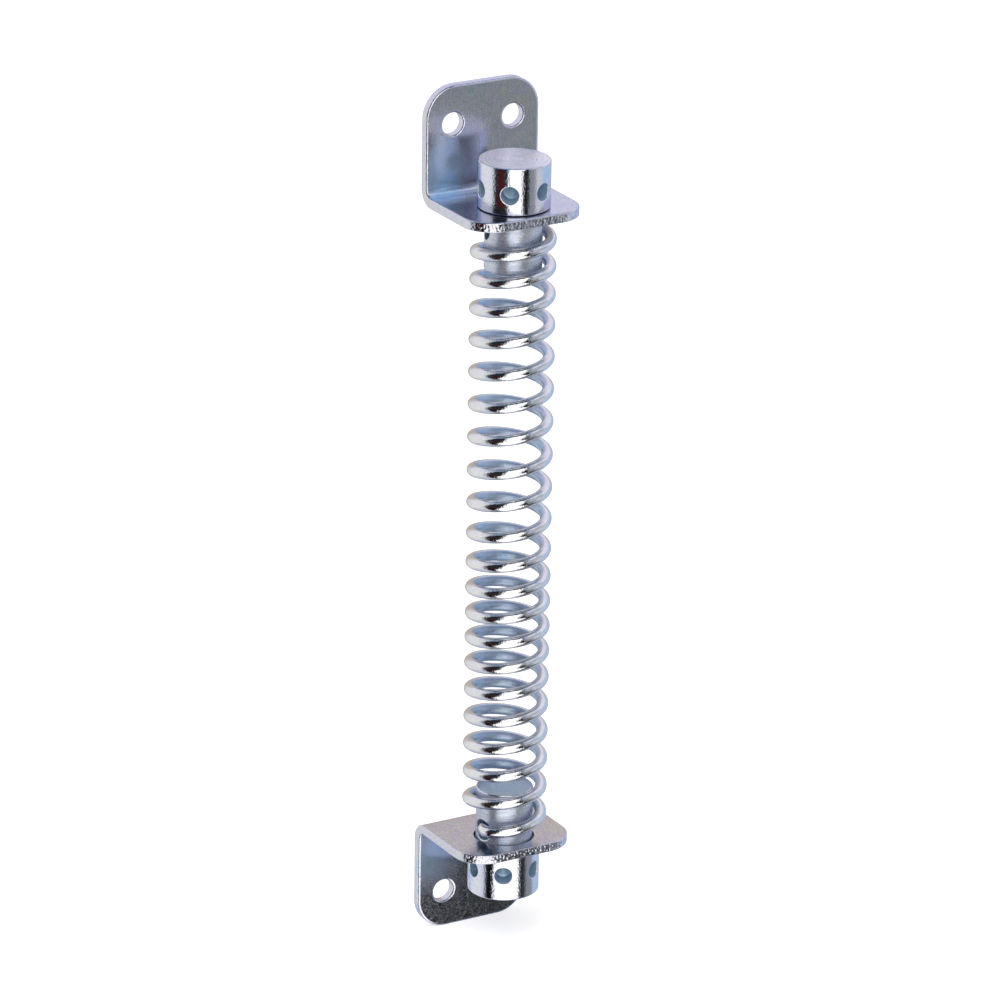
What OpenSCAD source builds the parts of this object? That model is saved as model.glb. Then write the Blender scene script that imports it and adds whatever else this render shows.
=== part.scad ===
// Gate spring closer: a coiled torsion spring held between two turned adjusters, each in a bent bracket.
// It stands along Z, with the brackets' screwed faces looking along +Y and the flanges along -Y.
// The origin is the centre of the upper bracket's two screw holes, on the face that meets the post.

/* [Brackets] */
// Width of the steel strip that both brackets are bent from
strip_w = 38.5; // [34:0.5:60]
// Thickness of the strip
strip_t = 3; // [2:0.25:4]
// Height of a bracket, from the spring side of its flange to the end of its plate
bracket_h = 36.5; // [32:0.5:60]
// Inside radius of the bend
bend_r = 2.5; // [1:0.25:4]
// Radius of the corners of plate and flange
corner_r = 10; // [2:0.5:14]
// Metal between the flange's bore and its front edge
flange_land = 3.75; // [2:0.25:10]
// Clear length between the two flanges
span = 200; // [150:1:300]

/* [Screw holes] */
// Diameter of a screw hole
screw_hole_d = 7; // [4:0.25:8]
// From a screw hole's centre to the side of the plate
screw_hole_side = 9; // [6:0.25:12]
// From a screw hole's centre to the end of the plate
screw_hole_end = 12; // [8:0.25:14]

/* [Adjusters] */
// Diameter of an adjuster's head
head_d = 22; // [20:0.5:30]
// Height of the head
head_h = 14.5; // [11:0.25:25]
// Diameter of the shank that the spring goes round
shank_d = 17.5; // [13:0.25:18.5]
// Shank left beyond the wire hole
shank_tip = 9.5; // [3:0.5:20]
// Number of bar holes round the head
bar_holes = 6; // [4:1:6]
// Diameter of the bar that turns an adjuster
bar_d = 5; // [3:0.25:5.5]
// Height of the bar holes above the shoulder
bar_hole_rise = 6.25; // [5:0.25:7]
// Metal between two neighbouring bar holes at their deepest
bar_hole_web = 1; // [0.5:0.1:2]
// Bevel on the ends of head and shank
end_bevel = 0.6; // [0.2:0.1:1]
// Bevel round the mouths of the holes and on the shoulder's rim
mouth_bevel = 0.4; // [0.2:0.1:0.6]
// Angle from a bar hole to the wire hole
wire_hole_turn = -10; // [-30:1:30]

/* [Spring] */
// Diameter of the wire
wire_d = 3.6; // [2.4:0.1:4]
// Whole turns of the coil, besides the part turn that brings its upper end to its hole
whole_turns = 20; // [12:1:24]
// Turns in the uppermost stretch of the coil
top_turns = 2.5; // [1:0.5:4]
// Pitch of the uppermost stretch
top_pitch = 8.4; // [6:0.1:14]
// Turns in the widely spaced stretch below it
open_turns = 8; // [1:0.5:8]
// Pitch of the widely spaced stretch
open_pitch = 10.3; // [6:0.1:14]
// Turns in the closely spaced stretch below that
close_turns = 4; // [1:0.5:4]
// Pitch of the closely spaced stretch
close_pitch = 8.1; // [6:0.1:14]
// Pitch of the rest of the coil, down to its lower end
bottom_pitch = 9; // [6:0.1:14]
// Inside radius where the wire bends into its hole
wire_bend_r = 2; // [1.4:0.1:2.4]
// Straight length of wire in the hole
wire_tail = 5.5; // [4:0.1:7]

/* [Clearances] */
// Room between the head and the bracket's plate
head_room = 8; // [6:0.5:20]
// Gap between the head's shoulder and the flange
seat_gap = 0.2; // [0.1:0.05:0.5]
// Room all round the shank in the flange's bore
bore_clearance = 0.5; // [0.1:0.05:1]
// Room all round the shank in the coil
coil_clearance = 0.65; // [0.6:0.05:1.5]
// Room all round the wire in its hole
wire_clearance = 1.5; // [1.4:0.05:2]
// Metal between the wire hole and the flange
wire_hole_land = 0.3; // [0.2:0.1:3]
// Room all round the bar in its hole
bar_clearance = 0.1; // [0.05:0.01:0.5]

/* [Rest position] */
// Direction of the upper adjuster's bar hole next to its wire hole, round from the front
upper_turn = -97; // [-180:1:180]
// The same for the lower adjuster
lower_turn = -90; // [-180:1:180]
// Height at which the wire's ends lie above the middle of their holes
wire_lift = 0.9; // [0:0.1:1.1]

/* [Hidden] */
$fn = 96;
// Overshoot of a cutting solid past the face that it cuts
cut = 1;

// Brackets
bend_outer_r = bend_r + strip_t;
bore_d = shank_d + 2 * bore_clearance;
hub_offset = strip_t + head_room + head_d / 2;
flange_front = bore_d / 2 + flange_land;
flange_depth = hub_offset + flange_front;
screw_hole_x = strip_w / 2 - screw_hole_side;
screw_hole_z = bracket_h - screw_hole_end;
upper_flange_z = -screw_hole_z;
lower_flange_z = upper_flange_z - span;

// Adjusters
bar_hole_d = bar_d + 2 * bar_clearance;
bar_hole_floor = (bar_hole_d + bar_hole_web) / 2 / tan(180 / bar_holes);
wire_hole_d = wire_d + 2 * wire_clearance;
wire_hole_drop = seat_gap + strip_t + wire_hole_land + wire_hole_d / 2;
shank_l = wire_hole_drop + wire_hole_d / 2 + shank_tip;
upper_shoulder_z = upper_flange_z + strip_t + seat_gap;
lower_shoulder_z = lower_flange_z - strip_t - seat_gap;

// Spring: its ends lie in the wire holes, and a bend of the centre line carries each into the coil
rings_per_turn = 12;
wire_sides = 6;
bend_rings = 6;
pitch_blend = 0.5;
coil_r = shank_d / 2 + coil_clearance + wire_d / 2;
wire_r = wire_bend_r + wire_d / 2;
bend_lead = asin(wire_r / (coil_r - wire_r));
bend_foot = (coil_r - wire_r) * cos(bend_lead);
lower_entry = lower_turn - wire_hole_turn - 90;
upper_entry = upper_turn + wire_hole_turn - 90;
part_turn = ((upper_entry - lower_entry) % 360 + 360) % 360;
coil_angle = 360 * whole_turns + part_turn - 2 * bend_lead;
coil_turns = coil_angle / 360;
lower_end_z = lower_shoulder_z + wire_hole_drop + wire_lift;
upper_end_z = upper_shoulder_z - wire_hole_drop + wire_lift;
close_from = coil_turns - top_turns - open_turns - close_turns;
open_from = close_from + close_turns;
top_from = open_from + open_turns;
pitches = [
    [close_from - pitch_blend, bottom_pitch],
    [close_from + pitch_blend, close_pitch],
    [open_from - pitch_blend, close_pitch],
    [open_from + pitch_blend, open_pitch],
    [top_from - pitch_blend, open_pitch],
    [top_from + pitch_blend, top_pitch]
];
coil_steps = ceil(coil_turns * rings_per_turn);
step_turns = coil_turns / coil_steps;
climbs = [
    for (i = 0, z = 0; i <= coil_steps; z = z + step_turns * lookup((i + 0.5) * step_turns, pitches), i = i + 1) z
];
bend_sweep = 90 + bend_lead;
bend_climb = mean_pitch() * wire_r * bend_sweep / 360 / (2 * coil_r);
stretch = (upper_end_z - lower_end_z - 2 * bend_climb) / climbs[coil_steps];

// Mean climb of one turn between the wire's two ends
function mean_pitch() = (upper_end_z - lower_end_z) / coil_turns;

// Unit vector across the spring's axis
function spoke(angle) = [cos(angle), sin(angle), 0];

function level(z) = [0, 0, z];

function unit(v) = v / norm(v);

// Centre line of the wire, from its lower end to its upper one
lower_bend = [
    for (i = [0 : bend_rings])
        (coil_r - wire_r) * spoke(lower_entry + bend_lead)
        + wire_r * spoke(lower_entry - 90 + bend_sweep * i / bend_rings)
        + level(lower_end_z + bend_climb * pow(i / bend_rings, 2))
];
coil = [
    for (i = [1 : coil_steps - 1])
        coil_r * spoke(lower_entry + bend_lead + coil_angle * i / coil_steps)
        + level(lower_end_z + bend_climb + stretch * climbs[i])
];
upper_bend = [
    for (i = [0 : bend_rings])
        (coil_r - wire_r) * spoke(upper_entry - bend_lead)
        + wire_r * spoke(upper_entry - bend_lead + bend_sweep * i / bend_rings)
        + level(upper_end_z - bend_climb * pow(1 - i / bend_rings, 2))
];
wire = concat(
    [(bend_foot - wire_tail) * spoke(lower_entry) + level(lower_end_z)],
    lower_bend,
    coil,
    upper_bend,
    [(bend_foot - wire_tail) * spoke(upper_entry) + level(upper_end_z)]
);

// Least gap between turns, from each point to all that lie half a turn or more further on
turn_gaps = [
    for (i = [0 : len(wire) - 1 - rings_per_turn / 2])
        min([for (j = [i + rings_per_turn / 2 : len(wire) - 1]) norm(wire[i] - wire[j])])
];
echo(least_gap_between_turns = min(turn_gaps) - wire_d);
echo(coil_stretch = stretch);

// Direction of the wire at point i
function heading(i) =
    let (before = i > 0 ? unit(wire[i] - wire[i - 1]) : [0, 0, 0],
         after = i < len(wire) - 1 ? unit(wire[i + 1] - wire[i]) : [0, 0, 0])
    unit(before + after);

// Points round the wire at point i
function wire_ring(i) =
    let (along = heading(i), rise = unit([0, 0, 1] - along.z * along), side = cross(rise, along))
    [for (j = [0 : wire_sides - 1])
        wire[i] + wire_d / 2 * (cos(360 * j / wire_sides) * side + sin(360 * j / wire_sides) * rise)];

// A bracket stands on its flange's spring side, with the plate's screwed face at y = 0
module strip_profile() {
    translate([-flange_depth, 0])
        square([flange_depth - bend_outer_r, strip_t]);
    translate([-strip_t, bend_outer_r])
        square([strip_t, bracket_h - bend_outer_r]);
    translate([-bend_outer_r, bend_outer_r])
        intersection() {
            difference() {
                circle(r = bend_outer_r);
                circle(r = bend_r);
            }
            translate([0, -bend_outer_r])
                square(bend_outer_r);
        }
}

// What rounding takes off a square corner at the origin, in the +X +Y quarter
module corner_waste() {
    difference() {
        square(corner_r + cut);
        circle(r = corner_r);
    }
}

module bracket() {
    difference() {
        translate([-strip_w / 2, 0, 0])
            rotate([90, 0, 90])
                linear_extrude(strip_w)
                    strip_profile();
        for (side = [-1, 1]) {
            translate([side * (strip_w / 2 - corner_r), cut, bracket_h - corner_r])
                rotate([90, 0, 0])
                    linear_extrude(strip_t + 2 * cut)
                        scale_side(side)
                            corner_waste();
            translate([side * (strip_w / 2 - corner_r), corner_r - flange_depth, -cut])
                linear_extrude(strip_t + 2 * cut)
                    scale_side(side)
                        mirror([0, 1])
                            corner_waste();
            translate([side * screw_hole_x, cut, screw_hole_z])
                rotate([90, 0, 0])
                    cylinder(d = screw_hole_d, h = strip_t + 2 * cut);
        }
        translate([0, -hub_offset, -cut])
            cylinder(d = bore_d, h = strip_t + 2 * cut);
    }
}

// Children as they are on the right, mirrored on the left
module scale_side(side) {
    if (side > 0)
        children();
    else
        mirror([1, 0])
            children();
}

// An adjuster's shoulder is at z = 0, its head above and its shank below, with a bar hole facing the front
module adjuster_blank() {
    rotate_extrude()
        polygon([
            [0, -shank_l],
            [shank_d / 2 - end_bevel, -shank_l],
            [shank_d / 2, end_bevel - shank_l],
            [shank_d / 2, 0],
            [head_d / 2 - mouth_bevel, 0],
            [head_d / 2, mouth_bevel],
            [head_d / 2, head_h - end_bevel],
            [head_d / 2 - end_bevel, head_h],
            [0, head_h]
        ]);
}

// A bevelled mouth, cut from the outside at a distance from the axis
module hole_mouth(hole_d, surface_r) {
    translate([0, 0, surface_r - mouth_bevel])
        cylinder(r1 = hole_d / 2, r2 = hole_d / 2 + mouth_bevel + cut, h = mouth_bevel + cut);
}

// Flat at its floor, where the drill's shallow point is left out
module bar_hole() {
    translate([0, 0, bar_hole_rise])
        rotate([90, 0, 0]) {
            translate([0, 0, bar_hole_floor])
                cylinder(d = bar_hole_d, h = head_d / 2 + cut - bar_hole_floor);
            hole_mouth(bar_hole_d, head_d / 2);
        }
}

module wire_hole() {
    rotate([0, 0, wire_hole_turn])
        translate([0, 0, -wire_hole_drop]) {
            rotate([90, 0, 0])
                cylinder(d = wire_hole_d, h = shank_d + 2 * cut, center = true);
            rotate([90, 0, 0])
                hole_mouth(wire_hole_d, shank_d / 2);
            rotate([-90, 0, 0])
                hole_mouth(wire_hole_d, shank_d / 2);
        }
}

module adjuster() {
    difference() {
        adjuster_blank();
        for (i = [0 : bar_holes - 1])
            rotate([0, 0, 360 / bar_holes * i])
                bar_hole();
        wire_hole();
    }
}

module upper_bracket() {
    color([0.60, 0.62, 0.64])
        translate([0, 0, upper_flange_z])
            bracket();
}

module lower_bracket() {
    color([0.52, 0.54, 0.57])
        translate([0, 0, lower_flange_z])
            rotate([0, 180, 0])
                bracket();
}

module upper_adjuster() {
    color([0.82, 0.83, 0.86])
        translate([0, -hub_offset, upper_shoulder_z])
            rotate([0, 0, upper_turn])
                adjuster();
}

module lower_adjuster() {
    color([0.78, 0.80, 0.84])
        translate([0, -hub_offset, lower_shoulder_z])
            rotate([0, 0, lower_turn])
                rotate([0, 180, 0])
                    adjuster();
}

module spring() {
    rings = len(wire);
    points = [for (i = [0 : rings - 1]) each wire_ring(i)];
    skin = [
        for (i = [0 : rings - 2], j = [0 : wire_sides - 1])
            let (a = wire_sides * i + j, b = wire_sides * i + (j + 1) % wire_sides)
            each [[a, b, b + wire_sides], [a, b + wire_sides, a + wire_sides]]
    ];
    last = wire_sides * (rings - 1);
    caps = [
        for (j = [1 : wire_sides - 2])
            each [[0, j + 1, j], [last, last + j, last + j + 1]]
    ];
    color([0.70, 0.71, 0.75])
        translate([0, -hub_offset, 0])
            polyhedron(points, concat(skin, caps), convexity = 40);
}

upper_bracket();
lower_bracket();
upper_adjuster();
lower_adjuster();
spring();
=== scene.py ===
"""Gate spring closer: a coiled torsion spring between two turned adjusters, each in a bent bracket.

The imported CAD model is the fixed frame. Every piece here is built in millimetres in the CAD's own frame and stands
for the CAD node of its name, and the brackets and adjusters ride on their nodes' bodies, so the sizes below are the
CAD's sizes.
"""

import logging
import math
from dataclasses import dataclass, field
from enum import Enum
from typing import Callable, Iterable, Sequence

import bpy
import numpy as np
from mathutils import Matrix, Vector, geometry


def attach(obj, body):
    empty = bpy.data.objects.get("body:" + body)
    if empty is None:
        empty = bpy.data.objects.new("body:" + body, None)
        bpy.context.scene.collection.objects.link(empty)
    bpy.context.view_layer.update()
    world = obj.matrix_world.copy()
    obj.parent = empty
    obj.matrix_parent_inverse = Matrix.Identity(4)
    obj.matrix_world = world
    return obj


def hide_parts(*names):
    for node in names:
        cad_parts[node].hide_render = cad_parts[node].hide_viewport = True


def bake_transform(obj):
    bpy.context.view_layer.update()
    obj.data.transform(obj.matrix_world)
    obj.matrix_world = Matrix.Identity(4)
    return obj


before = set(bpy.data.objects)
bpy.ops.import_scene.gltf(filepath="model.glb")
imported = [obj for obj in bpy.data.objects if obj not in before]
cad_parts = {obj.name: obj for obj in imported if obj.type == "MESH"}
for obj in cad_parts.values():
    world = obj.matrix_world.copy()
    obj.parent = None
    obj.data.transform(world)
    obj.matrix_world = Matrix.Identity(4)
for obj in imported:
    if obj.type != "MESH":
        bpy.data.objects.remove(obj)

LOG = logging.getLogger("gate_spring_closer")
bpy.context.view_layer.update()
MM = 0.001
MICRON = 1e-6
# Corners that agree to this many steps in a millimetre share a vertex
WELD = 2e4
# The hub's axis stands this far in front of the screwed faces, in millimetres
HUB_Y = -22.0

Flat = tuple[float, float]
# Gives the points and the outward normals of an outline at an inset
Outline = Callable[[float], list[tuple[Flat, Flat]]]
Output = bpy.types.NodeSocket
# Settings of the node that mixes two colours, by multiplying them and by going over from one to the other
MULTIPLY = {"data_type": "RGBA", "blend_type": "MULTIPLY"}
BLEND = {"data_type": "RGBA"}
# Settings of the nodes that multiply two numbers or vectors, and that ease from one number to another
TIMES = {"operation": "MULTIPLY"}
SMOOTH = {"interpolation_type": "SMOOTHSTEP"}


def linear(colour: str) -> tuple[float, float, float, float]:
    """Turns an sRGB hex colour into linear light.

    Args:
        colour: Six hex digits after a hash.

    Returns:
        Red, green, blue and an alpha of one.
    """
    parts = [int(colour[i : i + 2], 16) / 255 for i in (1, 3, 5)]
    light = [c / 12.92 if c <= 0.04045 else ((c + 0.055) / 1.055) ** 2.4 for c in parts]
    return (light[0], light[1], light[2], 1.0)


def spoke(degrees: float) -> Vector:
    """Gives the unit vector across the spring's axis at an angle from +X."""
    return Vector((math.cos(math.radians(degrees)), math.sin(math.radians(degrees)), 0.0))


def facing(degrees: float) -> Vector:
    """Gives the unit vector across the hub's axis at an angle round from the front, -Y, towards +X."""
    return Vector((math.sin(math.radians(degrees)), -math.cos(math.radians(degrees)), 0.0))


def level(z: float) -> Vector:
    """Gives the vector that goes up by a height."""
    return Vector((0.0, 0.0, z))


def stand(name: str, data: bpy.types.ID) -> bpy.types.Object:
    """Makes an object of its data and puts it in the scene.

    Args:
        name: The object's name.
        data: Its mesh, lamp or camera.

    Returns:
        The object.
    """
    made = bpy.data.objects.new(name, data)
    bpy.context.scene.collection.objects.link(made)
    return made


def ease(share: np.ndarray | float) -> np.ndarray:
    """Eases from nought to one as a share goes from nought to one."""
    t = np.clip(share, 0.0, 1.0)
    return t * t * (3 - 2 * t)


# ---------------------------------------------------------------------------------------------------------- meshes


@dataclass(frozen=True)
class Corner:
    """A corner of a face: its place in millimetres, the true surface's normal there, and its surface coordinates."""

    place: Vector
    normal: Vector
    surface: Flat


class Skin:
    """Gathers faces whose corners carry the true surface's normals, so that mirror-bright metal shades evenly."""

    def __init__(self) -> None:
        """Starts with no faces."""
        self.places: list[Vector] = []
        self.known: dict[tuple[int, int, int], int] = {}
        self.faces: list[list[int]] = []
        self.normals: list[Vector] = []
        self.surfaces: list[Flat] = []
        self.finishes: list[int] = []

    def _vertex(self, place: Vector) -> int:
        """Finds or adds the vertex at a place.

        Args:
            place: Where it is, in millimetres.

        Returns:
            The vertex's index.
        """
        key = (round(place.x * WELD), round(place.y * WELD), round(place.z * WELD))
        if key not in self.known:
            self.known[key] = len(self.places)
            self.places.append(place)
        return self.known[key]

    def face(self, corners: Sequence[Corner], finish: int = 0) -> None:
        """Adds one face, turned so that it looks the way its corners' normals do.

        Args:
            corners: Three or more corners in either order.
            finish: Index of the face's finish in the piece's list of finishes.
        """
        kept: list[tuple[int, Corner]] = []
        for corner in corners:
            index = self._vertex(corner.place)
            if all(index != other for other, _ in kept):
                kept.append((index, corner))
        if len(kept) < 3:
            return
        a, b, c = (corner.place for _, corner in kept[:3])
        outward = sum((corner.normal for _, corner in kept), Vector())
        if (b - a).cross(c - a).dot(outward) < 0:
            kept.reverse()
        self.faces.append([index for index, _ in kept])
        self.normals.extend(corner.normal for _, corner in kept)
        self.surfaces.extend(corner.surface for _, corner in kept)
        self.finishes.append(finish)

    def strip(
        self, one: Sequence[Corner], other: Sequence[Corner], finish: int | Sequence[int] = 0, closed: bool = True
    ) -> None:
        """Joins two rings of as many corners with a band of quads.

        Args:
            one: First ring of corners.
            other: Second ring, corner for corner beside the first.
            finish: Index of the band's finish, or one index for each corner.
            closed: Whether the band goes on from the last corners to the first ones.
        """
        count = len(one)
        for i in range(count if closed else count - 1):
            j = (i + 1) % count
            self.face((one[i], one[j], other[j], other[i]), finish if isinstance(finish, int) else finish[i])

    def bands(self, rings: Sequence[Sequence[Corner]], finish: int = 0) -> None:
        """Joins each closed ring to the next."""
        for one, other in zip(rings, rings[1:]):
            self.strip(one, other, finish)

    def sheet(
        self,
        outline: Sequence[Flat],
        holes: Sequence[Sequence[Flat]],
        inside: Iterable[Flat],
        lay: Callable[[float, float], Corner],
        finish: int = 0,
    ) -> None:
        """Fills an outline with holes in the flat and lays the triangles on the real surface.

        Args:
            outline: Points round the outside.
            holes: Points round each hole.
            inside: More points, to keep the triangles small where the surface curves.
            lay: Gives the corner for a flat point.
            finish: Index of the sheet's finish.
        """
        flat: list[Flat] = []
        edges: list[tuple[int, int]] = []
        for ring in (outline, *holes):
            first = len(flat)
            flat.extend(ring)
            edges.extend((first + i, first + (i + 1) % len(ring)) for i in range(len(ring)))
        flat.extend(inside)
        made = geometry.delaunay_2d_cdt([Vector(p) for p in flat], edges, [], 0, 1e-5)
        points = [flat[came[0]] if came else (p.x, p.y) for p, came in zip(made[0], made[3])]
        corners = [lay(*p) for p in points]
        rings = [np.array(ring) for ring in (outline, *holes)]
        middles = np.array([[sum(points[i][k] for i in face) / 3 for k in (0, 1)] for face in made[2]])
        kept = within(middles, rings[0])
        for ring in rings[1:]:
            kept &= ~within(middles, ring)
        for face, keep in zip(made[2], kept):
            if keep:
                self.face([corners[i] for i in face], finish)

    def piece(self, name: str, placing: Matrix, finishes: Sequence[bpy.types.Material]) -> bpy.types.Object:
        """Makes the mesh object.

        Args:
            name: The piece's name.
            placing: Takes the skin's own millimetres to the frame's millimetres.
            finishes: Materials, in the order of the faces' finish indexes.

        Returns:
            The new object, linked to the scene.
        """
        turn = placing.to_3x3()
        mesh = bpy.data.meshes.new(name)
        mesh.from_pydata([(placing @ p) * MM for p in self.places], [], self.faces)
        mesh.update()
        for finish in finishes:
            mesh.materials.append(finish)
        mesh.polygons.foreach_set("material_index", self.finishes)
        mesh.polygons.foreach_set("use_smooth", [True] * len(self.faces))
        layer = mesh.uv_layers.new(name="surface")
        layer.data.foreach_set("uv", [x for uv in self.surfaces for x in uv])
        mesh.normals_split_custom_set([(turn @ n).normalized() for n in self.normals])
        mesh.update()
        return stand(name, mesh)


def within(points: np.ndarray, ring: np.ndarray) -> np.ndarray:
    """Tells which points lie inside a closed ring.

    Args:
        points: Flat points, one a row.
        ring: Corners of the ring in order.

    Returns:
        A row of truths, one for each point.
    """
    inside = np.zeros(len(points), bool)
    x, y = points[:, 0], points[:, 1]
    for (x0, y0), (x1, y1) in zip(ring, np.roll(ring, -1, axis=0)):
        if y0 == y1:
            continue
        crosses = (y0 > y) != (y1 > y)
        inside ^= crosses & (x < (x1 - x0) * (y - y0) / (y1 - y0) + x0)
    return inside


# ------------------------------------------------------------------------------------------------------- materials


class Nodes:
    """The node tree of a material or of the world, filled node by node."""

    def __init__(self, owner: bpy.types.Material | bpy.types.World) -> None:
        """Empties the owner's tree.

        Args:
            owner: The material or world that the nodes belong to.
        """
        owner.use_nodes = True
        self.owner = owner
        self.tree = owner.node_tree
        self.tree.nodes.clear()

    def add(self, kind: str, settings: dict | None = None, **inputs: object) -> bpy.types.Node:
        """Adds one node with its settings and links.

        Args:
            kind: The node's type, without the ShaderNode that it starts with.
            settings: Values of the node's own properties; "stops" fills a colour ramp.
            **inputs: Input sockets by name or as n0, n1 and so on, each a value, or the socket to link from, or a
                node whose first output is meant.

        Returns:
            The new node.
        """
        node = self.tree.nodes.new("ShaderNode" + kind)
        for key, value in (settings or {}).items():
            if key == "stops":
                ramp = node.color_ramp
                while len(ramp.elements) < len(value):
                    ramp.elements.new(0.5)
                for element, (place, colour) in zip(ramp.elements, value):
                    element.position = place
                    element.color = linear(colour) if isinstance(colour, str) else (colour,) * 3 + (1.0,)
            else:
                setattr(node, key, value)
        for key, value in inputs.items():
            at = int(key[1:]) if key[0] == "n" and key[1:].isdigit() else key.replace("_", " ")
            if isinstance(value, bpy.types.Node):
                value = value.outputs[0]
            if isinstance(value, bpy.types.NodeSocket):
                self.tree.links.new(value, node.inputs[at])
            else:
                node.inputs[at].default_value = value
        return node


class Making(Enum):
    """How a zinc-plated surface was made, which gives its fine relief."""

    ROLLED = "rolled strip"
    SHEARED = "sheared edge"
    TURNED = "turned bar"
    DRAWN = "drawn wire"


@dataclass(frozen=True)
class ZincPlate:
    """Bright zinc plating on steel under a thin blue passivation.

    The zinc gives a pale mirror. The passivation is a clear film a few hundred nanometres thick, so it tints the
    mirror lilac, blue and here and there straw, in patches some millimetres wide.
    """

    name: str
    making: Making
    zinc: str = "#DDDFE5"
    lilac: str = "#DBD9E9"
    blue: str = "#C4D5E8"
    straw: str = "#E3DDD4"
    # Tint of the mirror at a grazing look
    edge: str = "#E4E8F6"
    roughness: float = 0.1
    # How far the roughness goes up and down from place to place, and the size in millimetres of a duller place
    mottle: float = 0.04
    dull_patch: float = 10 / 9
    # Width in millimetres of a patch of one tint
    patch: float = 7.0
    # Size in millimetres and height in micrometres of the plating's orange peel, and how many finer layers it has
    peel: float = 0.45
    peel_height: float = 9.0
    peel_detail: float = 2.0
    # Size in millimetres and height in micrometres of the metal's own unevenness
    swirl: float = 2.4
    swirl_height: float = 10.0
    # Spacing in millimetres and height in micrometres of the tool's own marks, and how much painted shade darkens
    # their hollows
    marks: float = 0.22
    marks_height: float = 1.5
    marks_painted_shade: float = 0.05
    # Share of the light that the roughest tool marks scatter evenly instead of mirroring it
    haze: float = 0.0
    # How much a fine grain shades, and its size in millimetres
    grain: float = 0.05
    grain_size: float = 0.3
    # Painted bluish light in the bend's hollow, standing for light bounced there: how much, its tint, where it begins
    # and ends along the strip, how far it takes to come and to go, and how far its edges wander, in millimetres
    bend_painted_light: float = 0.0
    bend_painted_light_tint: str = "#8ABEF2"
    bend_painted_light_at: Flat = (14.0, 44.0)
    bend_painted_light_fade: Flat = (18.0, 12.0)
    bend_painted_light_wander: float = 14.0
    # Where across the strip the painted light begins and is full, in metres
    bend_painted_light_side: Flat = (0.001, -0.013)
    # Painted bluish shade and roughness of a coil's inner side, and the cosines round the wire where it begins and is
    # full
    inner_painted_shade_tint: str = "#DDEDFF"
    inner_roughness: float = 0.42
    inner_from: Flat = (-0.15, 0.6)

    def coordinates(self, n: Nodes, place: Output, flat: bpy.types.Node) -> bpy.types.Node:
        """Gives coordinates that go up by one from tool mark to tool mark.

        Args:
            n: The material's nodes.
            place: The point's place in metres.
            flat: Node whose outputs are the two surface coordinates.

        Returns:
            The coordinates' node.
        """
        around, along = flat.outputs[0], flat.outputs[1]
        if self.making is Making.DRAWN:
            angle = n.add("Math", TIMES, n0=around, n1=2 * math.pi)
            across = n.add("Math", {"operation": "COSINE"}, n0=angle)
            up = n.add("Math", {"operation": "SINE"}, n0=angle)
            # The die's lines change quickly round the wire, whose radius is 1.8 mm, and slowly along it
            slow = n.add("Math", TIMES, n0=along, n1=0.05)
            ring = n.add("CombineXYZ", X=across, Y=up, Z=slow)
            return n.add("VectorMath", {"operation": "SCALE"}, n0=ring, Scale=1.8 / self.marks)
        if self.making is Making.TURNED:
            # A groove goes on for about 9 mm round the axis before it changes
            ring = n.add("VectorMath", TIMES, n0=place, n1=(110.0, 110.0, 0.0))
            step = n.add("Math", {"operation": "DIVIDE"}, n0=along, n1=self.marks)
            return n.add("VectorMath", {"operation": "ADD"}, n0=ring, n1=n.add("CombineXYZ", Z=step))
        # Rolling draws its streaks out further than a blade draws its marks
        stretch = 14 if self.making is Making.ROLLED else 5
        across = n.add("Math", {"operation": "DIVIDE"}, n0=around, n1=self.marks)
        slow = n.add("Math", {"operation": "DIVIDE"}, n0=along, n1=self.marks * stretch)
        return n.add("CombineXYZ", X=across, Y=slow)

    def colour(self, n: Nodes, place: Output, film: bpy.types.Node, lines: bpy.types.Node) -> Output:
        """Tints the zinc by the film's thickness, paints shade into the hollows of its tool marks, and speckles it by
        its grain.

        Args:
            n: The material's nodes.
            place: The point's place in metres.
            film: Noise that stands for the film's thickness.
            lines: Noise that stands for the tool's marks.

        Returns:
            The colour's socket.
        """
        stops = ((0.3, self.blue), (0.42, self.zinc), (0.52, self.lilac), (0.62, self.zinc), (0.74, self.straw))
        tint = n.add("ValToRGB", {"stops": stops}, Fac=film)
        fine = n.add("TexNoise", Vector=place, Scale=1000 / self.grain_size, Detail=2.0, Roughness=0.8)
        # Painted shade: the colour darkens where the tool marks' relief is low, in their hollows
        groove_painted_shade = n.add("MapRange", Value=lines, n1=0.3, n2=0.7, n3=1 - 2 * self.marks_painted_shade, n4=1.0)
        speck = n.add("MapRange", Value=fine, n1=0.3, n2=0.6, n3=1 - 2 * self.grain, n4=1.0)
        both = n.add("Math", TIMES, n0=groove_painted_shade, n1=speck)
        return n.add("Mix", MULTIPLY, n0=1.0, n6=tint, n7=both).outputs[2]

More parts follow.
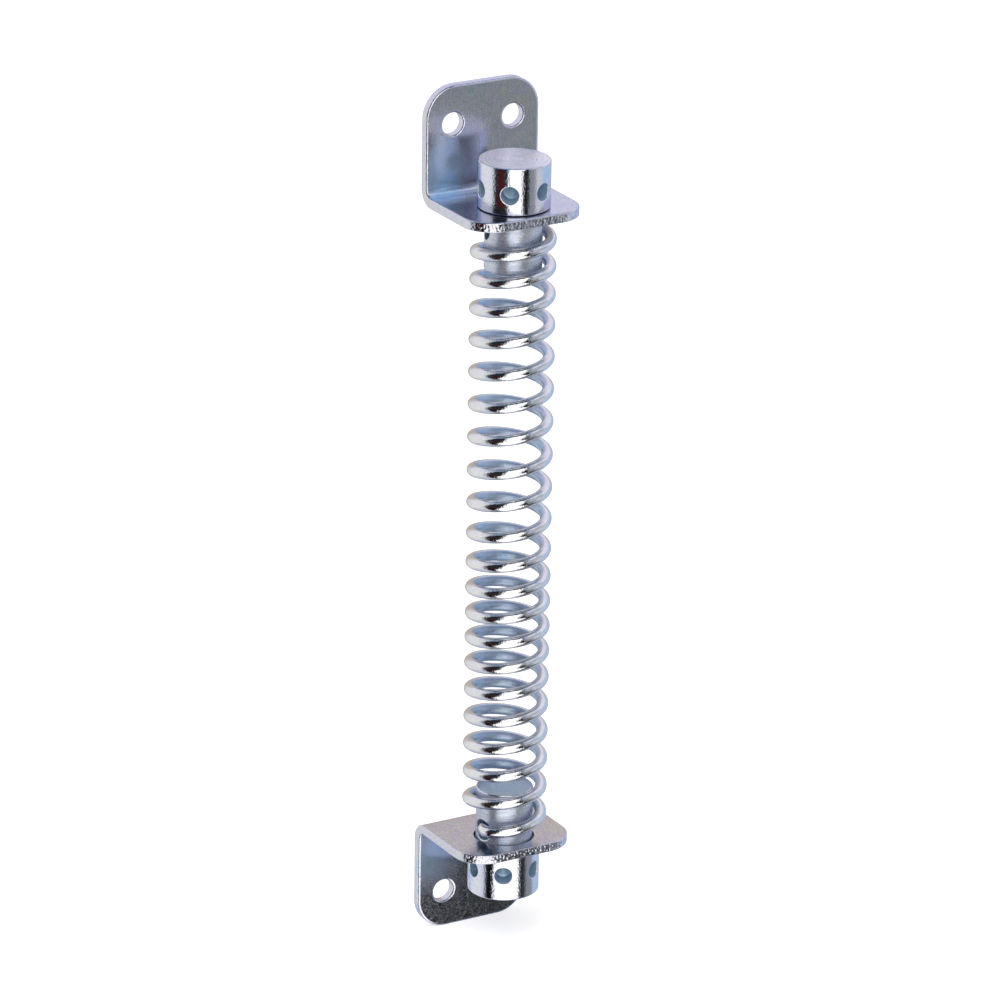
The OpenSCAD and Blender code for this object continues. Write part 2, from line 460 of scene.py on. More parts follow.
    def paint_bend_light(
        self, n: Nodes, place: Output, film: bpy.types.Node, flat: bpy.types.Node, colour: Output
    ) -> tuple[Output, Output]:
        """Paints bluish reflected light into the bend's hollow, towards one side of the strip; it scatters as well as
        mirrors.

        Args:
            n: The material's nodes.
            place: The point's place in metres.
            film: Noise that stands for the film's thickness, which makes the painted light's edges wander.
            flat: Node whose outputs are the two surface coordinates.
            colour: The colour without it.

        Returns:
            The colour with it, and the share of the light that is still mirrored.
        """
        (low, high), (rise, fall), side = self.bend_painted_light_at, self.bend_painted_light_fade, self.bend_painted_light_side
        wander = n.add("Math", {"operation": "MULTIPLY_ADD"}, n0=film, n1=self.bend_painted_light_wander, n2=flat.outputs[1])
        near = n.add("MapRange", SMOOTH, Value=wander, n1=low, n2=low + rise)
        far = n.add("MapRange", SMOOTH, Value=wander, n1=high, n2=high + fall, n3=self.bend_painted_light, n4=0.0)
        painted_light_across = n.add("MapRange", SMOOTH, Value=n.add("SeparateXYZ", Vector=place), n1=side[0], n2=side[1])
        along = n.add("Math", TIMES, n0=near, n1=far)
        painted_light_share = n.add("Math", TIMES, n0=along, n1=painted_light_across)
        # Painted light: the colour goes over to a light blue in the bend's hollow, and mirrors less there
        painted_light_colour = n.add("Mix", BLEND, n0=painted_light_share, n6=colour, n7=linear(self.bend_painted_light_tint)).outputs[2]
        return painted_light_colour, n.add("Math", {"operation": "SUBTRACT"}, n0=1.0, n1=painted_light_share).outputs[0]

    def inner_side(self, n: Nodes, around: Output, colour: Output, dull: Output) -> tuple[Output, Output]:
        """Makes the coil's inner side duller, and paints bluish shade on it where it faces the other turns.

        Args:
            n: The material's nodes.
            around: Turns round the wire, nought at the coil's inner side.
            colour: The colour elsewhere.
            dull: The roughness elsewhere.

        Returns:
            The colour and the roughness all round the wire.
        """
        turn = n.add("Math", TIMES, n0=around, n1=2 * math.pi)
        inward = n.add("Math", {"operation": "COSINE"}, n0=turn)
        share = n.add("MapRange", SMOOTH, Value=inward, n1=self.inner_from[0], n2=self.inner_from[1])
        # Painted shade: the inner side's colour is multiplied by a pale blue
        painted_inner_shade = n.add("Mix", MULTIPLY, n0=1.0, n6=colour, n7=linear(self.inner_painted_shade_tint)).outputs[2]
        tinted = n.add("Mix", BLEND, n0=share, n6=colour, n7=painted_inner_shade).outputs[2]
        return tinted, n.add("Mix", n0=share, n2=dull, n3=self.inner_roughness).outputs[0]

    def relief(self, n: Nodes, place: Output, lines: bpy.types.Node) -> bpy.types.Node:
        """Adds the steel's unevenness, the plating's orange peel over it, and the tool's marks.

        Args:
            n: The material's nodes.
            place: The point's place in metres.
            lines: Noise that stands for the tool's marks.

        Returns:
            The node that gives the normal.
        """
        swirl = n.add("TexNoise", Vector=place, Scale=1000 / self.swirl, Detail=2.0, Distortion=0.8)
        peel = n.add("TexNoise", Vector=place, Scale=1000 / self.peel, Detail=self.peel_detail, Roughness=0.6)
        base = n.add("Bump", Height=swirl, Strength=1.0, Distance=self.swirl_height * MICRON)
        skin = n.add("Bump", Height=peel, Strength=1.0, Distance=self.peel_height * MICRON, Normal=base)
        return n.add("Bump", Height=lines, Strength=1.0, Distance=self.marks_height * MICRON, Normal=skin)

    def material(self) -> bpy.types.Material:
        """Gives the finish's material, made when it is first asked for."""
        return bpy.data.materials.get(self.name) or self.build()

    def build(self) -> bpy.types.Material:
        """Makes the material.

        Returns:
            The finished material.
        """
        n = Nodes(bpy.data.materials.new(self.name))
        place = n.add("TexCoord").outputs["Object"]
        flat = n.add("SeparateXYZ", Vector=n.add("UVMap", {"uv_map": "surface"}))
        # The film's thickness wanders slowly, and the tint with it
        film = n.add("TexNoise", Vector=place, Scale=1000 / self.patch, Detail=3.0, Roughness=0.6, Distortion=0.6)
        lines = n.add("TexNoise", Vector=self.coordinates(n, place, flat), Scale=1.0, Detail=3.0, Roughness=0.6)
        colour = self.colour(n, place, film, lines)
        cloud = n.add("TexNoise", Vector=place, Scale=1000 / self.dull_patch, Detail=4.0, Roughness=0.65)
        low, high = max(self.roughness - self.mottle, 0.02), self.roughness + self.mottle
        dull = n.add("MapRange", Value=cloud, n1=0.3, n2=0.7, n3=low, n4=high).outputs[0]
        metal: Output | float = 1.0 - self.haze
        # Painted bluish light in the bend's hollow, on the finishes that have it
        if self.bend_painted_light:
            colour, metal = self.paint_bend_light(n, place, film, flat, colour)
        if self.making is Making.DRAWN:
            colour, dull = self.inner_side(n, flat.outputs[0], colour, dull)
        shader = n.add(
            "BsdfPrincipled",
            Base_Color=colour,
            Metallic=metal,
            Roughness=dull,
            Specular_Tint=linear(self.edge),
            Normal=self.relief(n, place, lines),
        )
        n.add("OutputMaterial", Surface=shader)
        return n.owner


# Cold-rolled strip: faint lengthwise streaks and a satin grain, so it mirrors only softly
STRIP = ZincPlate(
    "zinc_plated_rolled_strip",
    Making.ROLLED,
    zinc="#DEDFE1",
    lilac="#D9D6E6",
    blue="#C6D6E6",
    straw="#E6DDCE",
    roughness=0.17,
    mottle=0.06,
    patch=9.0,
    peel=0.45,
    peel_height=17.0,
    swirl=2.6,
    swirl_height=12.0,
    marks=0.4,
    marks_height=6.0,
    marks_painted_shade=0.07,
    grain=0.18,
    grain_size=0.34,
    # Painted bluish light in the bend's hollow
    bend_painted_light=0.5,
)
# Slit sides and rolled rims of a punched blank: drawn smooth by the punch, so they catch a bright line
RIM = ZincPlate("zinc_plated_punched_rim", Making.SHEARED, roughness=0.11, peel_height=60.0, grain=0.2)
# End sheared off the strip: torn through most of the thickness, so it sparkles in small dark and pale grains
SHEAR = ZincPlate(
    "zinc_plated_sheared_edge",
    Making.SHEARED,
    roughness=0.06,
    mottle=0.03,
    peel=0.8,
    peel_height=250.0,
    peel_detail=0.4,
    marks=0.5,
    marks_height=50.0,
    grain=0.24,
    grain_size=0.8,
)
# Turned free-cutting bar: a bright mirror, slightly wavy from the plating
TURNED = ZincPlate("zinc_plated_turned_steel", Making.TURNED, roughness=0.075, peel=0.6, peel_height=62.0, grain=0.04)
# Faced end: the facing tool's rings are coarser, and blur what it mirrors
FACED = ZincPlate(
    "zinc_plated_faced_steel",
    Making.TURNED,
    zinc="#F0F0FC",
    lilac="#E8E4FC",
    blue="#D8E2FC",
    straw="#F0ECF2",
    roughness=0.2,
    haze=0.6,
    marks=0.6,
    marks_height=190.0,
    marks_painted_shade=0.12,
    peel_height=24.0,
    grain=0.05,
)
# Shank: left as coarsely turned, with grooves that scatter and streak what it mirrors
GROOVED = ZincPlate(
    "zinc_plated_coarse_turned_steel",
    Making.TURNED,
    zinc="#E2E8F4",
    lilac="#DCE2F4",
    blue="#CCDDF4",
    straw="#E2E4E8",
    roughness=0.28,
    haze=0.42,
    marks=0.42,
    marks_height=110.0,
    # Painted shade darkens the grooves' hollows
    marks_painted_shade=0.17,
    swirl_height=20.0,
    grain=0.08,
)
# Drilled holes: the drill's grooves scatter light, and the passivation stays thicker and bluer in them
DRILLED = ZincPlate(
    "zinc_plated_drilled_steel",
    Making.TURNED,
    zinc="#CCE6F4",
    lilac="#D0E2F4",
    blue="#BCE0F2",
    straw="#D2E8F0",
    roughness=0.42,
    haze=0.34,
    mottle=0.1,
    marks=0.35,
    marks_height=20.0,
    marks_painted_shade=0.12,
)
# Drawn spring wire: the smoothest of them, with faint lines along it from the die
WIRE = ZincPlate(
    "zinc_plated_drawn_wire",
    Making.DRAWN,
    zinc="#E3E4E4",
    lilac="#DDDCE2",
    blue="#CBD9E4",
    edge="#E4E7ED",
    roughness=0.09,
    mottle=0.04,
    peel=0.5,
    peel_height=52.0,
    marks=0.25,
    marks_height=2.0,
    marks_painted_shade=0.04,
    grain=0.04,
)


# ---------------------------------------------------------------------------------------------------------- pieces


class End(Enum):
    """Which end of the closer a piece is at."""

    UPPER = "upper"
    LOWER = "lower"


@dataclass
class Piece:
    """A part of the closer that stands for one CAD node."""

    name: str
    body: str
    slot: str

    def settle(self, made: bpy.types.Object) -> None:
        """Hides the CAD node that the piece stands for, and reports the piece.

        Args:
            made: The finished object; a fitting already rides on its body.
        """
        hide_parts(self.name)
        LOG.info("%s: %d faces, on %s", made.name, len(made.data.polygons), self.body)


@dataclass
class Fitting(Piece):
    """A stiff piece of which each end has one, the lower one turned end for end."""

    end: End = End.UPPER

    def fit(
        self, skin: Skin, kind: str, placing: Matrix, finishes: Sequence[bpy.types.Material]
    ) -> bpy.types.Object:
        """Stands the skin at its end of the closer, where it rides on its body.

        Args:
            skin: The piece's finished skin, as at the upper end.
            kind: What the piece's name says after its end.
            placing: Takes the skin's own millimetres to the frame's millimetres.
            finishes: Materials, in the order of the faces' finish indexes.

        Returns:
            The finished piece.
        """
        if self.end is End.LOWER:
            placing = placing @ Matrix.Rotation(math.pi, 4, "Y")
        made = skin.piece(f"{self.end.value}_{kind}", placing, finishes)
        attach(made, self.body)
        self.settle(made)
        return made


@dataclass
class Bracket(Fitting):
    """Bent strip with two screw holes in its plate and the adjuster's bore in its flange."""

    width: float = 38.5
    thick: float = 3.0
    plate_h: float = 36.5
    flange_l: float = 35.0
    bend_r: float = 2.5
    corner_r: float = 10.0
    hole_r: float = 3.5
    hole_x: float = 10.25
    hole_down: float = 12.0
    bore_r: float = 9.25
    # Rolled rim on the face that the punch met, how deep it is for its width, and the small rim on the other face
    roll: float = 0.75
    roll_depth: float = 0.7
    burr: float = 0.3
    # Part of the edge's normal that has to look along the strip where the edge was torn off and not slit
    torn_from: float = 0.4
    flange_z: float = -24.5
    # Steps round a corner, length of a step along a straight edge, and points round a screw hole and the bore
    corner_steps: int = 24
    edge_step: float = 0.45
    hole_points: int = 72
    bore_points: int = 144
    # Steps round a rim, rows of points round the bend, and the distance between the points in a row
    rim_steps: int = 6
    bend_rows: int = 18
    bend_step: float = 1.5
    # Surface coordinates of the outer face start this far on, so that the two faces differ in their grain
    outer_start: float = 200.0

    @property
    def middle_r(self) -> float:
        """Radius of the bend's middle layer."""
        return self.bend_r + self.thick / 2

    @property
    def plate_l(self) -> float:
        """Flat length of the plate before the bend."""
        return self.plate_h - self.bend_r - self.thick

    @property
    def bend_l(self) -> float:
        """Length of the bend's middle layer."""
        return self.middle_r * math.pi / 2

    @property
    def length(self) -> float:
        """Length of the flat blank."""
        return self.plate_l + self.bend_l + self.flange_l - self.bend_r - self.thick

    def lay(self, x: float, s: float, w: float, normal: Vector, surface: Flat) -> Corner:
        """Bends a point of the flat blank to its place.

        Args:
            x: Across the strip from its middle.
            s: Along the strip from the plate's end.
            w: Height in the thickness, from the bend's outer face to its inner one.
            normal: Normal in the blank: across, along, through.
            surface: Surface coordinates of the corner.

        Returns:
            The corner on the bent bracket.
        """
        outer = self.bend_r + self.thick
        turn = min(max((s - self.plate_l) / self.middle_r, 0.0), math.pi / 2)
        past = max(s - self.plate_l - self.bend_l, 0.0)
        across, down = math.cos(turn), math.sin(turn)
        y = -outer + (outer - w) * across - past
        z = outer - (outer - w) * down + max(self.plate_l - s, 0.0)
        bent = Vector((normal.x, -normal.z * across - normal.y * down, normal.z * down - normal.y * across))
        return Corner(Vector((x, y, z)), bent, surface)

    def outline(self, inset: float) -> list[tuple[Flat, Flat]]:
        """Goes round the blank at an inset.

        Args:
            inset: Distance in from the blank's edge.

        Returns:
            Points and their outward normals, the same count at every inset.
        """
        half, r, end = self.width / 2, self.corner_r, self.length
        found: list[tuple[Flat, Flat]] = []
        corners = (
            (half - r, r, -90.0),
            (half - r, end - r, 0.0),
            (r - half, end - r, 90.0),
            (r - half, r, 180.0),
        )
        for k, (x, s, start) in enumerate(corners):
            for i in range(self.corner_steps + 1):
                a = math.radians(start + 90 * i / self.corner_steps)
                out = (math.cos(a), math.sin(a))
                found.append(((x + (r - inset) * out[0], s + (r - inset) * out[1]), out))
            nx, ns, _ = corners[(k + 1) % 4]
            out = (math.cos(math.radians(start + 90)), math.sin(math.radians(start + 90)))
            steps = max(int(math.hypot(nx - x, ns - s) / self.edge_step), 2)
            for i in range(1, steps):
                t = i / steps
                px, ps = x + (nx - x) * t, s + (ns - s) * t
                found.append(((px + (r - inset) * out[0], ps + (r - inset) * out[1]), out))
        return found

    def hole(self, x: float, s: float, r: float, inset: float, count: int) -> list[tuple[Flat, Flat]]:
        """Goes round a hole, with the normals looking into it.

        Args:
            x: Across the strip to the hole's centre.
            s: Along the strip to the hole's centre.
            r: Radius of the hole.
            inset: Distance out from the hole's edge.
            count: Number of points.

        Returns:
            Points and the metal's outward normals there.
        """
        turns = [2 * math.pi * i / count for i in range(count)]
        return [
            ((x + (r + inset) * math.cos(a), s + (r + inset) * math.sin(a)), (-math.cos(a), -math.sin(a)))
            for a in turns
        ]

    def edge_profile(self) -> list[tuple[float, float, float]]:
        """Gives the section of a punched edge.

        Returns:
            Inset, height in the thickness and the normal's tilt up from the blank's plane, from face to face.
        """
        steps = [math.radians(90 * i / self.rim_steps) for i in range(self.rim_steps + 1)]
        top = [
            (self.roll * (1 - math.cos(a)), self.thick - self.roll_depth * self.roll * (1 - math.sin(a)), a)
            for a in reversed(steps)
        ]
        low = [(self.burr * (1 - math.cos(a)), self.burr * (1 - math.sin(a)), -a) for a in steps]
        return top + low

    def edge_ring(self, points: Sequence[tuple[Flat, Flat]], w: float, tilt: float) -> list[Corner]:
        """Lays one ring of a punched edge.

        Args:
            points: Points round the edge and their outward normals.
            w: Height in the thickness.
            tilt: The normal's tilt up from the blank's plane.

        Returns:
            The ring's corners.
        """
        ring, travelled, last = [], 0.0, points[0][0]
        for (x, s), out in points:
            travelled += math.hypot(x - last[0], s - last[1])
            last = (x, s)
            normal = Vector((out[0] * math.cos(tilt), out[1] * math.cos(tilt), math.sin(tilt)))
            ring.append(self.lay(x, s, w, normal, (travelled, w)))
        return ring

    def build(self) -> bpy.types.Object:
        """Makes the bracket.

        Returns:
            The finished piece.
        """
        skin = Skin()
        hub_s = self.length - (self.flange_l + HUB_Y)
        rings: tuple[Outline, ...] = (
            self.outline,
            lambda d: self.hole(-self.hole_x, self.hole_down, self.hole_r, d, self.hole_points),
            lambda d: self.hole(self.hole_x, self.hole_down, self.hole_r, d, self.hole_points),
            lambda d: self.hole(0.0, hub_s, self.bore_r, d, self.bore_points),
        )
        profile = self.edge_profile()
        wall = len(profile) // 2
        for ring in rings:
            # Only the end that was cut off the strip is torn: the slit sides and the holes are burnished
            torn = [2 if ring is rings[0] and out[1] > self.torn_from else 1 for _, out in ring(0.0)]
            bands = [self.edge_ring(ring(inset), w, tilt) for inset, w, tilt in profile]
            for k, (before, now) in enumerate(zip(bands, bands[1:]), 1):
                skin.strip(before, now, torn if k == wall else 1)
        columns = int(self.width / 2 / self.bend_step)
        bend = [
            (j * self.bend_step, self.plate_l + self.bend_l * i / self.bend_rows)
            for i in range(-1, self.bend_rows + 2)
            for j in range(-columns, columns + 1)
        ]
        for inset, w, up in ((self.roll, self.thick, 1.0), (self.burr, 0.0, -1.0)):
            skin.sheet(
                [p for p, _ in rings[0](inset)],
                [[p for p, _ in ring(inset)] for ring in rings[1:]],
                bend,
                lambda x, s, w=w, up=up: self.lay(x, s, w, level(up), (x, s if w else s + self.outer_start)),
            )
        finishes = (STRIP.material(), RIM.material(), SHEAR.material())
        return self.fit(skin, "bracket_plate", Matrix.Translation((0, 0, self.flange_z)), finishes)


@dataclass
class Adjuster(Fitting):
    """Turned head with radial bar holes, and a shank crossed by the hole that holds the spring's end."""

    shoulder_z: float = -21.3
    turn: float = -97.0
    head_r: float = 11.0
    head_h: float = 14.5
    shank_r: float = 8.75
    shank_l: float = 19.6
    bar_holes: int = 6
    bar_hole_r: float = 2.6
    bar_hole_rise: float = 6.25
    bar_hole_floor: float = 5.37
    # Half the angle of the drill's point, and how round the deburred mouths and rims are
    drill_half: float = 59.0
    mouth: float = 0.4
    rim: float = 0.45
    wire_hole_r: float = 3.3
    wire_hole_drop: float = 6.8
    wire_hole_turn: float = -10.0
    # Points round the axis, height of a row of them, how near they come to a hole, and how much less to a wide one
    segments: int = 168
    row: float = 0.7
    near: float = 0.35
    near_more: float = 0.06
    # Points round a hole, steps round a rim or a mouth and down the drill's point, and steps along the wire's hole
    hole_points: int = 64
    rim_steps: int = 6
    wire_hole_steps: int = 8
    # Rings of points on the head's top and on the shank's end
    top_rings: int = 8
    end_rings: int = 7

    def ring(self, r: float, z: float, tilt: float, v: float) -> list[Corner]:
        """Gives one ring round the axis.

        Args:
            r: Radius.
            z: Height above the shoulder.
            tilt: The normal's angle up from straight outwards, in radians.
            v: Length along the profile.

        Returns:
            The ring's corners.
        """
        corners = []
        for i in range(self.segments):
            out = facing(360 * i / self.segments)
            normal = out * math.cos(tilt) + level(math.sin(tilt))
            corners.append(Corner(out * r + level(z), normal, (360 * i / self.segments, v)))
        return corners

    def revolve(
        self, skin: Skin, profile: Sequence[tuple[float, float, float]], start: float, finish: int = 0
    ) -> float:
        """Turns a profile round the axis.

        Args:
            skin: Skin to add to.
            profile: Radius, height and tilt of each ring.
            start: Profile length at the first ring.
            finish: Index of the finish.

        Returns:
            Profile length at the last ring.
        """
        v, rings = start, []
        for k, (r, z, tilt) in enumerate(profile):
            if k:
                v += math.hypot(r - profile[k - 1][0], z - profile[k - 1][1])
            rings.append(self.ring(max(r, 0.0), z, tilt, v))
        skin.bands(rings, finish)
        return v

    def wall(
        self,
        skin: Skin,
        r: float,
        low: float,
        high: float,
        v: float,
        holes: Sequence[tuple[float, float, float]],
        finish: int = 0,
    ) -> None:
        """Lays a cylinder's wall round its holes.

        Args:
            skin: Skin to add to.
            r: The wall's radius.
            low: Its lower height.
            high: Its upper height.
            v: Profile length at the upper height.
            holes: Angle round from the front, height and radius of each hole, mouth included.
            finish: Index of the finish.
        """
        # The seam runs midway between holes
        seam = 30.0 if len(holes) > 2 else 80.0
        reach = 2 * math.pi * r
        count = self.segments
        start = round(seam / 360 * count) * 360 / count

        def lay(u: float, z: float) -> Corner:
            """Rolls a flat point onto the wall.

            Args:
                u: Length round the wall.
                z: Height.

            Returns:
                The corner there.
            """
            angle = start + 360 * u / reach
            out = facing(angle)
            return Corner(out * r + level(z), out, (angle, v + high - z))

        flat = [(((angle - start) % 360) / 360 * reach, z, hole_r) for angle, z, hole_r in holes]
        rings = [[(u + r * math.asin(x / r), z + y) for x, y in self.round_hole(hole_r)] for u, z, hole_r in flat]
        across = [reach * i / count for i in range(count + 1)]
        rows = max(int((high - low) / self.row), 1)
        # Points between the edges, but none near a hole, whose own points do there
        inside = [
            (u, z)
            for z in (low + (high - low) * j / rows for j in range(1, rows))
            for u in across[1:-1]
            if all(math.hypot(hu - u, z - hz) > hr + self.near + self.near_more * hr * hr / r for hu, hz, hr in flat)
        ]
        outline = [(u, low) for u in across] + [(u, high) for u in reversed(across)]
        skin.sheet(outline, rings, inside, lay, finish)

    def round_hole(self, r: float) -> list[Flat]:
        """Goes round a hole as seen straight on.

        Args:
            r: The hole's radius.

        Returns:
            Points round its middle.
        """
        turns = [2 * math.pi * i / self.hole_points for i in range(self.hole_points)]
        return [(r * math.cos(a), r * math.sin(a)) for a in turns]

    def mouth_rings(self, angle: float, z: float, hole_r: float, wall_r: float) -> list[list[Corner]]:
        """Rounds a hole's mouth from the wall into the hole.

        Args:
            angle: The hole's direction round from the front.
            z: Height of its centre.
            hole_r: Its radius.
            wall_r: Radius of the wall that it opens in.

        Returns:
            Rings from the wall inwards; the last one is on the hole's own wall.
        """
        out, side = facing(angle), facing(angle + 90)
        rings = []
        for k in range(self.rim_steps + 1):
            bend = math.radians(90 * k / self.rim_steps)
            r = hole_r + self.mouth * (1 - math.sin(bend))
            sink = self.mouth * (1 - math.cos(bend))
            ring = []
            for i, (x, y) in enumerate(self.round_hole(r)):
                depth = math.sqrt(wall_r * wall_r - x * x) - sink
                wall_n = (side * x + out * math.sqrt(wall_r * wall_r - x * x)).normalized()
                inwards = -(side * (x / r) + level(y / r))
                normal = wall_n * math.cos(bend) + inwards * math.sin(bend)
                ring.append(Corner(out * depth + side * x + level(z + y), normal, (i * 0.1, k * 0.1)))
            rings.append(ring)
        return rings

    def drill(self, skin: Skin, angle: float) -> None:
        """Adds a bar hole with its drill point.

        Args:
            skin: Skin to add to.
            angle: The hole's direction round from the front.
        """
        out, side = facing(angle), facing(angle + 90)
        rings = self.mouth_rings(angle, self.bar_hole_rise, self.bar_hole_r, self.head_r)
        skin.bands(rings)
        middle = level(self.bar_hole_rise)

        def at(r: float, depth: float, tilt: float, v: float) -> list[Corner]:
            """Gives a ring in the hole.

            Args:
                r: Radius.
                depth: Distance from the adjuster's axis.
                tilt: The normal's tilt towards the mouth, in radians.
                v: Length along the hole's profile.

            Returns:
                The ring's corners.
            """
            ring = []
            for i, (x, y) in enumerate(self.round_hole(1.0)):
                radial = side * x + level(y)
                normal = -radial * math.cos(tilt) + out * math.sin(tilt)
                ring.append(Corner(out * depth + middle + radial * r, normal, (i * 0.1, v)))
            return ring

        floor, r, cone = self.bar_hole_floor, self.bar_hole_r, math.radians(self.drill_half)
        deepest = min(corner.place.dot(out) for corner in rings[-1])
        wall = [at(r, deepest + (floor - deepest) * t, 0.0, 1.0 + (deepest - floor) * t) for t in (0.0, 0.5, 1.0)]
        skin.bands([rings[-1], *wall], 1)
        steps = [r * (1 - t / self.rim_steps) for t in range(self.rim_steps + 1)]
        skin.bands([at(s, floor - (r - s) / math.tan(cone), cone, 5 + r - s) for s in steps], 1)

    def cross_drill(self, skin: Skin) -> None:
        """Adds the wire's hole, which goes through the shank.

        Args:
            skin: Skin to add to.
        """
        z = -self.wire_hole_drop
        ends = []
        for angle in (self.wire_hole_turn, self.wire_hole_turn + 180):
            rings = self.mouth_rings(angle, z, self.wire_hole_r, self.shank_r)
            skin.bands(rings)
            ends.append(rings[-1])
        near, far = ends
        count = len(far)
        far = [far[(count // 2 - i) % count] for i in range(count)]
        across = [
            [
                Corner(a.place.lerp(b.place, k / self.wire_hole_steps), a.normal, (i * 0.16, 1 + 2 * k))
                for i, (a, b) in enumerate(zip(near, far))
            ]
            for k in range(1, self.wire_hole_steps + 1)
        ]
        skin.bands([near, *across], 1)

    def rounding(self, r: float, z: float, out: float, up: float, size: float) -> list[tuple[float, float, float]]:
        """Rounds the profile's outer corner.

        Args:
            r: Radius of the corner.
            z: Height of the corner.
            out: Tilt in degrees where the rounding starts.
            up: Tilt in degrees where it ends.
            size: Its radius.

        Returns:
            Radius, height and tilt along it.
        """
        sign = 1 if max(out, up) > 0 else -1
        steps = [math.radians(out + (up - out) * i / self.rim_steps) for i in range(self.rim_steps + 1)]
        return [(r - size + size * math.cos(a), z - sign * size + size * math.sin(a), a) for a in steps]

    def build(self) -> bpy.types.Object:
        """Makes the adjuster.

        Returns:
            The finished piece.
        """
        skin = Skin()
        up, rim = math.pi / 2, self.rim
        top = [(self.head_r - rim, self.head_h, up)]
        face = [(r, self.head_h, up) for r in np.linspace(0.0, self.head_r - rim, self.top_rings)[:-1]]
        v = self.revolve(skin, face + top, 0.0, 2)
        v = self.revolve(skin, self.rounding(self.head_r, self.head_h, 90, 0, rim), v)
        mouth_r = self.bar_hole_r + self.mouth
        holes = [(360 / self.bar_holes * i, self.bar_hole_rise, mouth_r) for i in range(self.bar_holes)]
        self.wall(skin, self.head_r, self.mouth, self.head_h - rim, v, holes)
        v += self.head_h - rim - self.mouth
        for angle, _, _ in holes:
            self.drill(skin, angle)
        v = self.revolve(skin, self.rounding(self.head_r, 0.0, 0, -90, self.mouth), v)
        v = self.revolve(skin, [(self.head_r - self.mouth, 0.0, -up), (self.shank_r, 0.0, -up)], v)
        end = -self.shank_l
        pair = [
            (self.wire_hole_turn + half, -self.wire_hole_drop, self.wire_hole_r + self.mouth) for half in (0, 180)
        ]
        self.wall(skin, self.shank_r, end + rim, 0.0, v, pair, 3)
        self.cross_drill(skin)
        v += self.shank_l - rim
        v = self.revolve(skin, self.rounding(self.shank_r, end, 0, -90, rim), v)
        disc = [(r, end, -up) for r in np.linspace(self.shank_r - rim, 0.0, self.end_rings)]
        self.revolve(skin, disc, v, 1)
        placing = Matrix.Translation((0, HUB_Y, self.shoulder_z)) @ Matrix.Rotation(math.radians(self.turn), 4, "Z")
        finishes = (TURNED.material(), DRILLED.material(), FACED.material(), GROOVED.material())
        return self.fit(skin, "adjuster_turning", placing, finishes)


